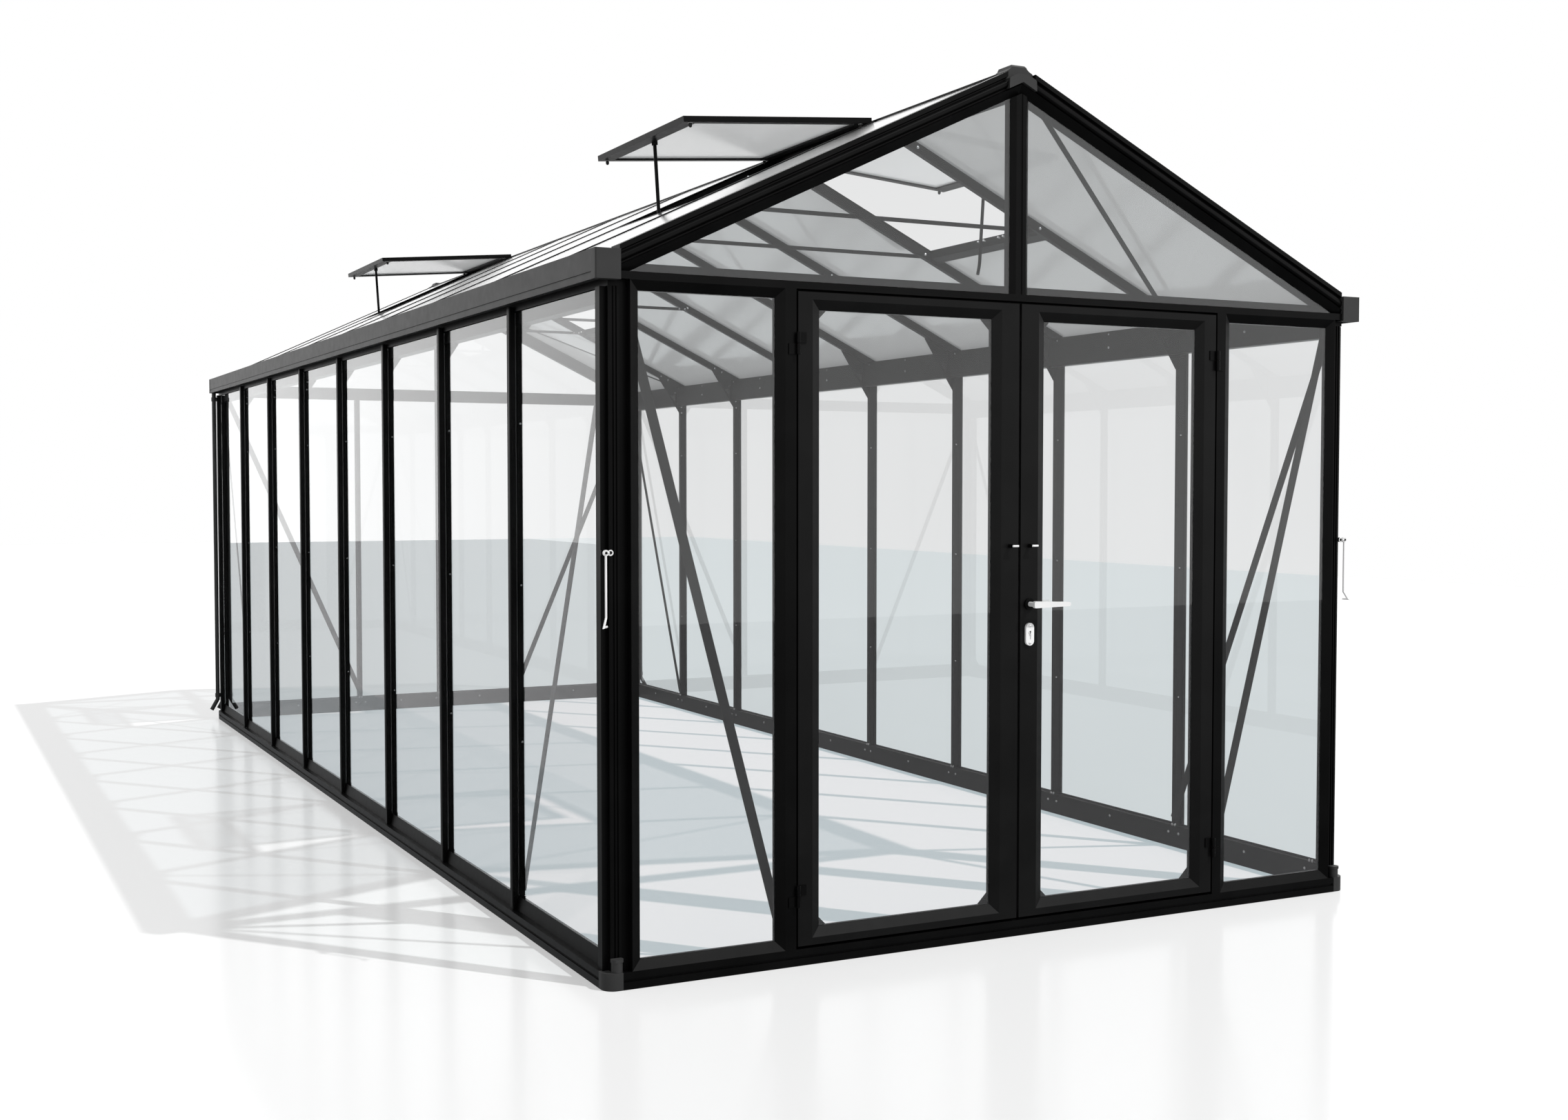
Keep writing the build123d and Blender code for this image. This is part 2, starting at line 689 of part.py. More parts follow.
def vent_stay(y):
    """Prop rod from the lid's rim past the sill, with a bent handle inside."""
    half = stay_knuckle_size / 2
    knuckle_run = vent_length - vent_border - half - seat_gap
    knuckle_drop = (vent_thickness + panel_thickness) / 2 + half + seat_gap
    top = lid_plane(y).from_local_coords(Vector(knuckle_run, 0, -knuckle_drop))
    sill_x = vent_sill_out - stay_radius - stay_clearance
    sill_z = roof_z(vent_sill_out)
    slant = (top.X - sill_x) / (top.Z - sill_z)
    bend_z = roof_z(vent_sill_out, vent_sill_depth) - stay_tail
    bend_x = sill_x - slant * (sill_z - bend_z)
    tip = (bend_x - 14, y - 10, bend_z - stay_tip)
    bar = bent_rod([tuple(top), (bend_x, y, bend_z), tip], stay_radius)
    knuckle = Box(stay_knuckle_size, stay_knuckle_length, stay_knuckle_size)
    return bar + lid_plane(y) * Pos(knuckle_run, 0, -knuckle_drop) * knuckle


# Braces and ties
def plate_side(y):
    """The two faces of a plate that lies against a bar's web, on the side of the house's middle."""
    if y > 0:
        return y - bar_web_width / 2 - strap_thickness, y - bar_web_width / 2
    return y + bar_web_width / 2, y + bar_web_width / 2 + strap_thickness


def collar_tie(y):
    near, far = plate_side(y)
    return block(-tie_half_length, tie_half_length, near, far, tie_height - tie_depth / 2,
                 tie_height + tie_depth / 2)


def knee_bracket(y):
    """Gusset plate across the joint of bar, eave and rafter, with a small window."""
    near, far = plate_side(y)
    eave_in = eave_inner_x - seat_gap
    eave_low_z = post_top - eave_beam_drop - seat_gap
    post_in = wall_x - post_depth
    points = [(post_in + knee_lap, knee_foot), (post_in + knee_lap, eave_low_z), (eave_in, eave_low_z),
              (eave_in, roof_z(eave_in, 20)), (knee_reach, roof_z(knee_reach, 22)),
              (knee_reach, roof_z(knee_reach, rafter_depth) - 4), (post_in, knee_foot)]
    plate = along_y(points, near, far)
    corner = (eave_in - knee_rim, eave_low_z + knee_rim + 12)
    window_top = corner[1] + knee_window
    window = [corner, (corner[0], window_top), (corner[0] - 0.8 * knee_window, window_top)]
    return plate - along_y(window, near - 1, far + 1)


def strap(start, end, width, normal):
    """Flat strap between two points; the plane's normal points to the strap's free side."""
    run = Vector(*end) - Vector(*start)
    plane = Plane(origin=start, x_dir=run.normalized(), z_dir=normal)
    return plane * Pos(run.length / 2, 0, strap_thickness / 2) * Box(run.length, width, strap_thickness)


side_strap = strap((wall_x - post_depth, -post_inner_y, post_top - eave_beam_drop - 30),
                   (wall_x - post_depth, bay_lines[0], sill_height + 20), wall_strap_width, (-1, 0, 0))
front_strap = strap((post_inner_x, -inner_y, transom_low - 20),
                    (jamb_inner + jamb_face / 2, -inner_y, base_height + threshold_height),
                    wall_strap_width, (0, 1, 0))
back_strap = strap((post_inner_x, inner_y, transom_low - 20),
                   (back_mullion, inner_y, sill_height + 20), wall_strap_width, (0, -1, 0))


def roof_strap():
    """Diagonal strap under the end bay of the right slope, from ridge to eave."""
    depth = rafter_depth
    top_x = roof_strap_inset
    low_x = eave_inner_x - 25
    up = Vector(sin(pitch), 0, cos(pitch))
    start = Vector(top_x, -verge_inner_y + 12, roof_z(top_x, depth))
    end = Vector(low_x, bay_lines[0] - 12, roof_z(low_x, depth))
    return strap(tuple(start), tuple(end), roof_strap_width, tuple(up * -1))


# Front gable panes
def window_frame(x0, x1, z0, z1, mouth, sight):
    """Bevelled frame. mouth and sight are margins from the outside, given left, right, low, high."""
    front = -half_length
    back = front + frame_depth
    ring = block(x0, x1, front, back, z0, z1)
    ring -= block(x0 + sight[0], x1 - sight[1], front - 1, back + 1, z0 + sight[2], z1 - sight[3])
    wide = Plane(origin=(0, front, 0), x_dir=(1, 0, 0), z_dir=(0, -1, 0))
    deep = Plane(origin=(0, front + bevel_depth, 0), x_dir=(1, 0, 0), z_dir=(0, -1, 0))
    mouth_face = wide * outline([(x0 + mouth[0], z0 + mouth[2]), (x1 - mouth[1], z0 + mouth[2]),
                                 (x1 - mouth[1], z1 - mouth[3]), (x0 + mouth[0], z1 - mouth[3])])
    sight_face = deep * outline([(x0 + sight[0], z0 + sight[2]), (x1 - sight[1], z0 + sight[2]),
                                 (x1 - sight[1], z1 - sight[3]), (x0 + sight[0], z1 - sight[3])])
    ring -= loft([mouth_face, sight_face], ruled=True)
    ring -= block(x0 + sight[0] - glass_rebate, x1 - sight[1] + glass_rebate,
                  glass_front_y - seat_gap, glass_back_y + seat_gap,
                  z0 + sight[2] - glass_rebate, z1 - sight[3] + glass_rebate)
    return ring


def window_glass(x0, x1, z0, z1, sight):
    """Pane that stands in the frame's rebate."""
    lap = glass_rebate - seat_gap
    return block(x0 + sight[0] - lap, x1 - sight[1] + lap, glass_front_y, glass_back_y,
                 z0 + sight[2] - glass_rebate, z1 - sight[3] + lap)


pane_left = jamb_inner + jamb_face
pane_mouth = (1, 1, 1, 1)
pane_sight = (bevel_width, bevel_width, bevel_width, bevel_width)
front_pane_frame = window_frame(pane_left, post_inner_x, base_height, transom_nose_low,
                                pane_mouth, pane_sight)
front_pane_glass = window_glass(pane_left, post_inner_x, base_height, transom_nose_low, pane_sight)


def front_jamb():
    """Door post with a stop behind the leaf."""
    outer = jamb_inner + jamb_face
    points = [(jamb_inner, -half_length), (outer, -half_length), (outer, -inner_y),
              (jamb_inner - jamb_stop, -inner_y), (jamb_inner - jamb_stop, stop_front),
              (jamb_inner, stop_front)]
    return along_z(points, base_height, transom_nose_low) - front_transom - front_base


def gable_glass(inner, out_y, in_y):
    """Right half of the glass over a gable's transom."""
    depth = verge_depth - glass_rebate
    edge = transom_nose_high
    reach = (ridge_height - depth / cos(pitch) - edge) / tan(pitch)
    reach = min(reach, post_inner_x)
    points = [(inner, edge), (reach, edge), (inner, roof_z(inner, depth))]
    return along_y(points, out_y, in_y)


# Back gable
back_glass_out = wall_y - glass_setback
back_glass_in = back_glass_out - glass_thickness


def back_transom():
    """Beam across the back gable, with a rail outside over the edges of the glass."""
    low = transom_low
    high = transom_high
    out = back_glass_out + seat_gap
    inn = back_glass_in - seat_gap
    face = back_glass_out + transom_face_stand
    points = [(inner_y, low), (inn, low), (inn, transom_nose_low), (out, transom_nose_low),
              (out, low), (face, low + bar_cap_edge), (face, high - bar_cap_edge), (out, high),
              (out, transom_nose_high), (inn, transom_nose_high), (inn, high), (inner_y, high)]
    return along_x(points, -post_inner_x, post_inner_x)


def back_pane(x0, x1):
    return block(x0, x1, back_glass_in, back_glass_out, glass_seat, transom_nose_low - 2)


def side_pane(y0, y1):
    glass_out = wall_x - glass_setback
    return block(glass_out - glass_thickness, glass_out, y0, y1, glass_seat, post_top - 2)


# Door leaf, drawn for the right
leaf_out = jamb_inner - leaf_gap
leaf_in = meeting_gap / 2
leaf_mouth = (meeting_stile, hinge_stile, leaf_rail, leaf_rail)
leaf_sight = tuple(margin + bevel_width for margin in leaf_mouth)
leaf_frame = window_frame(leaf_in, leaf_out, leaf_low, leaf_high, leaf_mouth, leaf_sight)
leaf_glass = window_glass(leaf_in, leaf_out, leaf_low, leaf_high, leaf_sight)
pin_x = jamb_inner - leaf_gap / 2
pin_y = -half_length - pin_stand


def leaf_gussets():
    """Four triangular plates that stiffen the leaf's corners, behind the glass."""
    plates = []
    y0 = leaf_back
    for x, toward in ((leaf_in + leaf_sight[0], 1), (leaf_out - leaf_sight[1], -1)):
        for z, up in ((leaf_low + leaf_sight[2], 1), (leaf_high - leaf_sight[3], -1)):
            corner_x = x - toward * gusset_lap
            corner_z = z - up * gusset_lap
            points = [(corner_x, corner_z), (corner_x + toward * gusset_leg, corner_z),
                      (corner_x, corner_z + up * gusset_leg)]
            plates.append(along_y(points, y0, y0 + gusset_thickness))
    return plates


hinge_heights = [leaf_low + hinge_from_end, leaf_high - hinge_from_end - hinge_length]


def hinge_halves(z):
    """Lower half with its pin on the jamb, upper half with its bore on the leaf."""
    top = z + hinge_length
    low_end = z + hinge_length / 2 - 1
    high_start = z + hinge_length / 2 + 1
    front = -half_length - hinge_plate
    face = -half_length
    strip = front - 2

    def upright(radius, z0, z1):
        return rod((pin_x, pin_y, z0), (pin_x, pin_y, z1), radius)

    jamb_half = upright(hinge_radius, z, low_end) + upright(hinge_pin_radius, z, top)
    jamb_half += block(jamb_inner, jamb_inner + hinge_plate_width, front, face, z, low_end)
    jamb_half += block(pin_x, jamb_inner + 1, strip, front, z, low_end)
    leaf_half = upright(hinge_radius, high_start, top)
    leaf_half += block(leaf_out - hinge_plate_width, leaf_out, front, face, high_start, top)
    leaf_half += block(leaf_out - 1, pin_x, strip, front, high_start, top)
    return jamb_half, leaf_half - upright(hinge_pin_radius + seat_gap, z - 1, top + 1)


# Lever handle on the right leaf, with an inner lever on the same spindle
lever_x = leaf_in + meeting_stile / 2


def lever_handle():
    front = -half_length - lever_stand
    back = leaf_back + lever_stand - 6
    spindle = rod((lever_x, front, lever_height), (lever_x, back, lever_height), spindle_radius)
    half = lever_width / 2
    grip = [(lever_x - half, lever_height - half), (lever_x + lever_length, lever_height - half + 3),
            (lever_x + lever_length, lever_height + half - 5), (lever_x - half, lever_height + half)]
    outside = along_y(grip, front, front + lever_thickness)
    inside = along_y(grip, back - lever_thickness, back)
    for grip_piece in (outside, inside):
        corners = grip_piece.edges().filter_by(Axis.Y)
        spindle += fillet(corners, 5)
    return spindle


def lever_rose():
    """Round plates on both faces of the leaf, with a bore for the spindle."""

    def lying(radius, y0, y1):
        return rod((lever_x, y0, lever_height), (lever_x, y1, lever_height), radius)

    front = -half_length - rose_depth
    back = leaf_back + rose_depth
    bore = lying(spindle_radius + seat_gap, front - 1, back + 1)
    return [lying(rose_radius, front, -half_length) - bore, lying(rose_radius, leaf_back, back) - bore]


def key_plate():
    """Long oval cylinder cover under the handle."""
    half = key_plate_width / 2
    straight = key_plate_length / 2 - half
    plane = Plane(origin=(lever_x, -half_length, key_plate_height), x_dir=(0, 0, 1), z_dir=(0, -1, 0))
    plate = extrude(plane * SlotOverall(2 * (straight + half), 2 * half), amount=key_plate_depth)
    slot = extrude(plane * Pos(-6, 0, key_plate_depth) * SlotOverall(20, 7), amount=-3)
    return plate - slot


def knob(x):
    return rod((x, -half_length - knob_length, knob_height), (x, -half_length, knob_height), knob_radius)


# Door hook and its bracket on the right corner post
hook_x = wall_x + hook_reach_out
hook_y = -wall_y - hook_reach_front


def hook_bracket():
    """Block on the post's side with the peg that the hook hangs on."""
    half = hook_bracket_width / 2
    body = block(wall_x, hook_x + half, -wall_y + 4, -wall_y + 4 + hook_bracket_width, hook_height - half,
                 hook_height + half)
    peg_end = hook_y - hook_eye_width / 2 - 3
    return body + rod((hook_x, -wall_y + 5, hook_height), (hook_x, peg_end, hook_height), hook_peg_radius)


def door_hook():
    """Rod with an eye on the peg and a cranked tip."""
    eye = rod((hook_x, hook_y - hook_eye_width / 2, hook_height),
              (hook_x, hook_y + hook_eye_width / 2, hook_height), hook_eye_radius)
    low = hook_height - hook_length
    path = [(hook_x, hook_y, hook_height - hook_eye_radius + 1), (hook_x, hook_y, low + 24),
            (hook_x + hook_crank, hook_y - hook_crank, low), (hook_x - 3, hook_y + 2, low + 1)]
    shank = bent_rod(path, hook_radius)
    bore = rod((hook_x, hook_y - hook_eye_width, hook_height), (hook_x, hook_y + hook_eye_width, hook_height),
               hook_peg_radius + seat_gap)
    return eye + shank - bore


# Downpipes at the back corners and pipe sockets at the front
def downpipe(x, y, top, aside):
    """Round pipe under the gutter, with a collar against the post and a turned-out foot. aside is
    the way that the foot turns, as (x, y)."""
    tip = (x + aside[0] * pipe_tip_reach, y + aside[1] * pipe_tip_reach, pipe_tip_height)
    pipe = bent_rod([(x, y, top), (x, y, pipe_elbow_height), tip], pipe_radius)
    for height in (pipe_elbow_height + pipe_collar_length, post_top - pipe_collar_length):
        pipe += Pos(x, y, height) * Cylinder(pipe_radius + pipe_collar, pipe_collar_length)
    return pipe


def pipe_socket():
    """Short flanged socket that stands on the base before the corner post."""
    x = wall_x - 13
    y = -wall_y - 9
    socket = Pos(x, y, base_height + socket_height / 2) * Cylinder(socket_radius, socket_height)
    socket += Pos(x, y, base_height + socket_height - 4) * Cylinder(socket_radius + 2, 8)
    keep = block(0, half_width - 1, -half_length + 1, -wall_y - seat_gap, 0, post_top)
    return socket & keep


def four(piece):
    """A piece of the front right corner at all four corners."""
    return [piece, left_of(piece), back_of(piece), back_of(left_of(piece))]


def pair(piece):
    return [piece, left_of(piece)]


# Sub-parts of the fixed house
save("base_rail_right", [side_base])
save("base_rail_left", [left_of(side_base)])
save("base_rail_front", [front_base])
save("base_rail_back", [back_base])
save("base_corners", four(base_corner()))
save("corner_posts", pair(corner_post()) + pair(back_post()))
right_bars = [side_bar(y) for y in bay_lines]
save("wall_bars_right", right_bars)
save("wall_bars_left", [left_of(bar) for bar in right_bars])
save("eave_beams", pair(eave_beam))
save("gutters", pair(gutter))
save("gutter_end_caps", four(gutter_end()))
save("transom_front", [front_transom])
rear_transom = back_transom()
rear_verge = verge(-back_glass_out, -back_glass_in) - hood - ridge_plate_space()
rear_verge = back_of(rear_verge) - rear_transom
save("transom_back", [rear_transom])
save("verge_rafters_front", pair(front_verge))
save("verge_rafters_back", pair(rear_verge))
save("king_post_front", [front_king])
save("ridge_beam", [ridge])
save("ridge_end_caps", [ridge_cap, back_of(ridge_cap)])
right_rafters = [rafter(y) for y in bay_lines]
save("rafters_right", right_rafters)
save("rafters_left", [left_of(bar) for bar in right_rafters])
sheets = roof_panels()
save("roof_panels_right", sheets)
save("roof_panels_left", [left_of(sheet) for sheet in sheets])
save("door_jambs", pair(front_jamb()))
save("front_pane_frames", pair(front_pane_frame))
front_triangle = gable_glass(11, glass_front_y, glass_back_y)
save("front_glass", pair(front_pane_glass) + pair(front_triangle))

# Back gable bars and glass
pane_gap = bar_neck / 2 + 1
mullion = back_bar(back_mullion, transom_low)
back_king = back_bar(0, ridge_height) - rear_transom
back_king = back_king & under_verges(0)
save("back_bars", pair(mullion) + [back_king])
back_side_pane = back_pane(back_mullion + pane_gap, post_inner_x - 1)
back_inner_pane = back_pane(pane_gap, back_mullion - pane_gap)
back_triangle = back_of(gable_glass(pane_gap, -back_glass_out, -back_glass_in))
save("back_glass", pair(back_side_pane) + pair(back_inner_pane) + pair(back_triangle))

side_edges = [-post_inner_y] + bay_lines + [post_inner_y]
panes = [side_pane(low + pane_gap, high - pane_gap) for low, high in zip(side_edges[:-1], side_edges[1:])]
save("wall_glass_right", panes)
save("wall_glass_left", [left_of(pane) for pane in panes])

# Vents, propped open
vent_centres = [bay_centres[i] for i in vent_bays]
for node, piece in (("vent_frames", vent_frame), ("vent_panels", vent_panel), ("vent_sills", vent_sill),
                    ("vent_stays", vent_stay)):
    save(node, [copy for y in vent_centres for copy in pair(piece(y))])

# Braces
save("collar_ties", [collar_tie(y) for y in bay_lines])
save("knee_brackets", [copy for y in bay_lines for copy in pair(knee_bracket(y))])
wall_straps = [side_strap, back_of(side_strap), front_strap, back_strap]
save("wall_braces", wall_straps + [left_of(piece) for piece in wall_straps])
save("roof_braces", four(roof_strap()))

# Rainwater pipes
pipe_stand = post_cap_stand + pipe_radius + pipe_collar + seat_gap
side_pipe = downpipe(wall_x + pipe_stand, wall_y - pipe_inset, gutter_base - seat_gap, (1, 0))
gable_pipe = downpipe(wall_x - gable_pipe_inset, wall_y + pipe_stand, gutter_low - seat_gap, (1, 0))
save("downpipes", pair(side_pipe) + pair(gable_pipe))
save("pipe_sockets", pair(pipe_socket()))

# Doors
gussets = leaf_gussets()
jamb_halves = []
leaf_halves = []
for height in hinge_heights:
    on_jamb, on_leaf = hinge_halves(height)
    jamb_halves.append(on_jamb)
    leaf_halves.append(on_leaf)
save("hinges_on_jambs", jamb_halves + [left_of(half) for half in jamb_halves])
spindle_bore = rod((lever_x, -half_length - 1, lever_height), (lever_x, leaf_back + 1, lever_height),
                   spindle_radius + seat_gap)
save("door_right_frame", [leaf_frame - spindle_bore])
save("door_right_glass", [leaf_glass])
save("door_right_gussets", gussets)
save("door_right_hinges", leaf_halves)
save("door_left_frame", [left_of(leaf_frame)])
save("door_left_glass", [left_of(leaf_glass)])
save("door_left_gussets", [left_of(plate) for plate in gussets])
save("door_left_hinges", [left_of(half) for half in leaf_halves])
save("door_handle", [lever_handle()])
save("handle_roses", lever_rose())
save("key_plate", [key_plate()])
save("door_right_knob", [knob(lever_x)])
save("door_left_knob", [knob(-lever_x)])
hook = door_hook()
save("hook_right", [hook])
save("hook_left", [left_of(hook)])
save("hook_brackets", pair(hook_bracket()))
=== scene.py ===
import math

import bpy
from mathutils import Euler, Matrix, Vector


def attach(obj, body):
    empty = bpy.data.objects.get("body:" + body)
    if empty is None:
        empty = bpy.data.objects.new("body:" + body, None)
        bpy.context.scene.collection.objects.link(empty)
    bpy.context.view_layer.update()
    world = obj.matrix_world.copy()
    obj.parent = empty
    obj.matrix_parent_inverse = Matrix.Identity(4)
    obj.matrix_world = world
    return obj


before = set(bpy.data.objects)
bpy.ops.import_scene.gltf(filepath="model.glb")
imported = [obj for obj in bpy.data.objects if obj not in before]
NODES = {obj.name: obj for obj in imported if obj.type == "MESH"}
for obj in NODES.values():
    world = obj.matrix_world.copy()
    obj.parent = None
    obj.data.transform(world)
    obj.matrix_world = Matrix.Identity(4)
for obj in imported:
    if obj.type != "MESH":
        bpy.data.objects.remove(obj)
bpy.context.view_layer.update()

SCENE = bpy.context.scene
SCENE.view_settings.view_transform = "Standard"

# Sizes taken over from the solids, in metres
INNER_X = 1.235                     # inner faces of the side base rails
INNER_Y = 3.0                       # inner face of the back base rail
BAY_LINES = [0.75 * (i - 4) for i in range(1, 8)]
BAY_CENTRES = [0.75 * (i - 3.5) for i in range(8)]
CORNER_LINES = [-2.945, 2.945]
BACK_BARS = (-0.48, 0, 0.48)
BACK_BAY_CENTRES = (-0.84, -0.24, 0.24, 0.84)
BAR_SIDE = 0.011                    # half the width of a bar's web
POST_TOP = 1.83
EAVE_X = 1.212                      # inner faces of the eave beams
RIDGE = 2.522                       # where the two roof surfaces would meet
PITCH = math.radians(25.4)
PLATE = 0.003                       # thickness of knee plates and ties
TIE_HEIGHT = 2.195
LEAF_FRONT = -3.05                  # Y of the leaves' front faces
LEVER_X = 0.034
KEY_HEIGHT = 0.884                  # middle of the key plate
KEY_PLATE_FRONT = LEAF_FRONT - 0.007
KEY_RECESS = LEAF_FRONT - 0.0041    # bottom of the key plate's slot
KNOB_HEIGHT = 1.142
KNOB_END = LEAF_FRONT - 0.020
HOOK = (1.274, 3.036, 1.142)
VENT_CENTRES = (-1.875, 1.875)
SILL_X = 0.641                      # upper edges of the vent sills
LID_HINGE_X = 0.0359
LID_HINGE_Z = 2.519
LID_LENGTH = 0.673
LID_HALF = 0.37
LID_THICKNESS = 0.0185
LID_ANGLE = math.radians(4.9)       # from level

# Heads of bolts and studs, radius in metres
HEAD = 0.0055
RAFTER_HEAD = 0.005
SMALL_HEAD = 0.004
STUD_HEAD = 0.0035

BOTH_SIDES = (-1, 1)


# Materials
def new_tree(name):
    """A material and its empty node tree."""
    material = bpy.data.materials.new(name)
    material.use_nodes = True
    tree = material.node_tree
    tree.nodes.clear()
    return material, tree


def add(tree, kind, **values):
    """A shader node; names with a capital are input sockets."""
    node = tree.nodes.new(kind)
    for key, value in values.items():
        if key[0].isupper():
            node.inputs[key.replace("_", " ")].default_value = value
        else:
            setattr(node, key, value)
    return node


def surface(tree, shader):
    """Ends a material's tree with its shader."""
    out = add(tree, "ShaderNodeOutputMaterial")
    tree.links.new(shader, out.inputs["Surface"])


def shade(value):
    """A linear grey from its 8-bit value on screen."""
    v = value / 255
    v = v / 12.92 if v <= 0.04045 else ((v + 0.055) / 1.055) ** 2.4
    return (v, v, v, 1)


def grey(v):
    """A grey from its linear value."""
    return (v, v, v, 1)


def noise(tree, scale, detail=2.0):
    """Soft noise from 0 to 1 over the object."""
    coords = add(tree, "ShaderNodeTexCoord")
    texture = add(tree, "ShaderNodeTexNoise", Scale=scale, Detail=detail)
    tree.links.new(coords.outputs["Object"], texture.inputs["Vector"])
    return texture.outputs["Fac"]


def ramp(tree, source, low, high, start=0.35, end=0.65):
    """A colour that goes from low to high while the source goes from start to end."""
    node = add(tree, "ShaderNodeValToRGB")
    first, last = node.color_ramp.elements
    first.position, first.color = start, low
    last.position, last.color = end, high
    tree.links.new(source, node.inputs["Fac"])
    return node.outputs["Color"]


def spread(tree, source, middle, half=0.05):
    """A value from 0 to 1 narrowed to a band about a middle."""
    node = add(tree, "ShaderNodeMapRange", To_Min=middle - half, To_Max=middle + half)
    tree.links.new(source, node.inputs["Value"])
    return node.outputs["Result"]


def mixed(tree, factor, first, second):
    """The first shader where the factor is 0, the second where it is 1."""
    node = add(tree, "ShaderNodeMixShader")
    tree.links.new(factor, node.inputs[0])
    tree.links.new(first, node.inputs[1])
    tree.links.new(second, node.inputs[2])
    return node.outputs[0]


def summed(tree, first, second):
    node = add(tree, "ShaderNodeAddShader")
    tree.links.new(first, node.inputs[0])
    tree.links.new(second, node.inputs[1])
    return node.outputs[0]


def transparent(tree, colour):
    return add(tree, "ShaderNodeBsdfTransparent", Color=colour).outputs[0]


def glossy(tree, roughness, colour):
    return add(tree, "ShaderNodeBsdfGlossy", Roughness=roughness, Color=colour).outputs[0]


def emission(tree, colour, strength):
    return add(tree, "ShaderNodeEmission", Color=colour, Strength=strength).outputs[0]


def coated(name, tone, variation, roughness, grain_scale, grain, metallic=0.0, specular=0.5):
    """An opaque finish with a fine grain, slightly uneven in tone and gloss."""
    material, tree = new_tree(name)
    shader = add(tree, "ShaderNodeBsdfPrincipled", Metallic=metallic, Specular_IOR_Level=specular)
    tones = ramp(tree, noise(tree, 7.0), shade(tone - variation), shade(tone + variation))
    tree.links.new(tones, shader.inputs["Base Color"])
    tree.links.new(spread(tree, noise(tree, 31.0), roughness), shader.inputs["Roughness"])
    bump = add(tree, "ShaderNodeBump", Strength=grain, Distance=0.0004)
    tree.links.new(noise(tree, grain_scale, 1.0), bump.inputs["Height"])
    tree.links.new(bump.outputs["Normal"], shader.inputs["Normal"])
    surface(tree, shader.outputs["BSDF"])
    return material


def pane_material(name, tint, shadow_tint, bounce_tint):
    """Clear glass; light that falls through it keeps its direction, so shadows stay crisp."""
    material, tree = new_tree(name)
    glass = add(tree, "ShaderNodeBsdfGlass", Roughness=0.0, IOR=1.45)
    low = tuple(c * 0.992 for c in tint[:3]) + (1,)
    tree.links.new(ramp(tree, noise(tree, 0.9), low, tint), glass.inputs["Color"])
    path = add(tree, "ShaderNodeLightPath")
    body = mixed(tree, path.outputs["Is Diffuse Ray"], glass.outputs[0], transparent(tree, bounce_tint))
    surface(tree, mixed(tree, path.outputs["Is Shadow Ray"], body, transparent(tree, shadow_tint)))
    return material


def sheet_material(name, seen, through, haze, flutes=62.0):
    """Translucent twin-wall sheet with fine flutes down the slope and a glossy skin outside."""
    material, tree = new_tree(name)
    coords = add(tree, "ShaderNodeTexCoord")
    wave = add(tree, "ShaderNodeTexWave", wave_type="BANDS", bands_direction="Y", wave_profile="SIN",
               Scale=flutes)
    tree.links.new(coords.outputs["Object"], wave.inputs["Vector"])
    cloudy = add(tree, "ShaderNodeBsdfPrincipled", Roughness=0.35)
    grainy = ramp(tree, noise(tree, 420.0, 1.0), shade(seen - 10), shade(seen + 6), 0.3, 0.7)
    tree.links.new(grainy, cloudy.inputs["Base Color"])
    bump = add(tree, "ShaderNodeBump", Strength=0.25, Distance=0.0006)
    tree.links.new(wave.outputs["Fac"], bump.inputs["Height"])
    tree.links.new(bump.outputs["Normal"], cloudy.inputs["Normal"])
    glow = add(tree, "ShaderNodeBsdfTranslucent", Color=shade(through))
    milky = add(tree, "ShaderNodeMixShader", Fac=0.55)
    tree.links.new(cloudy.outputs[0], milky.inputs[1])
    tree.links.new(glow.outputs[0], milky.inputs[2])
    part = spread(tree, wave.outputs["Fac"], haze)
    body = mixed(tree, part, transparent(tree, shade(235)), milky.outputs[0])
    skin = add(tree, "ShaderNodeFresnel", IOR=1.58)
    coat = mixed(tree, skin.outputs[0], body, glossy(tree, 0.12, grey(0.8)))
    geometry = add(tree, "ShaderNodeNewGeometry")
    body = mixed(tree, geometry.outputs["Backfacing"], coat, body)
    path = add(tree, "ShaderNodeLightPath")
    shadow = transparent(tree, (0.57, 0.60, 0.61, 1))
    surface(tree, mixed(tree, path.outputs["Is Shadow Ray"], body, shadow))
    return material


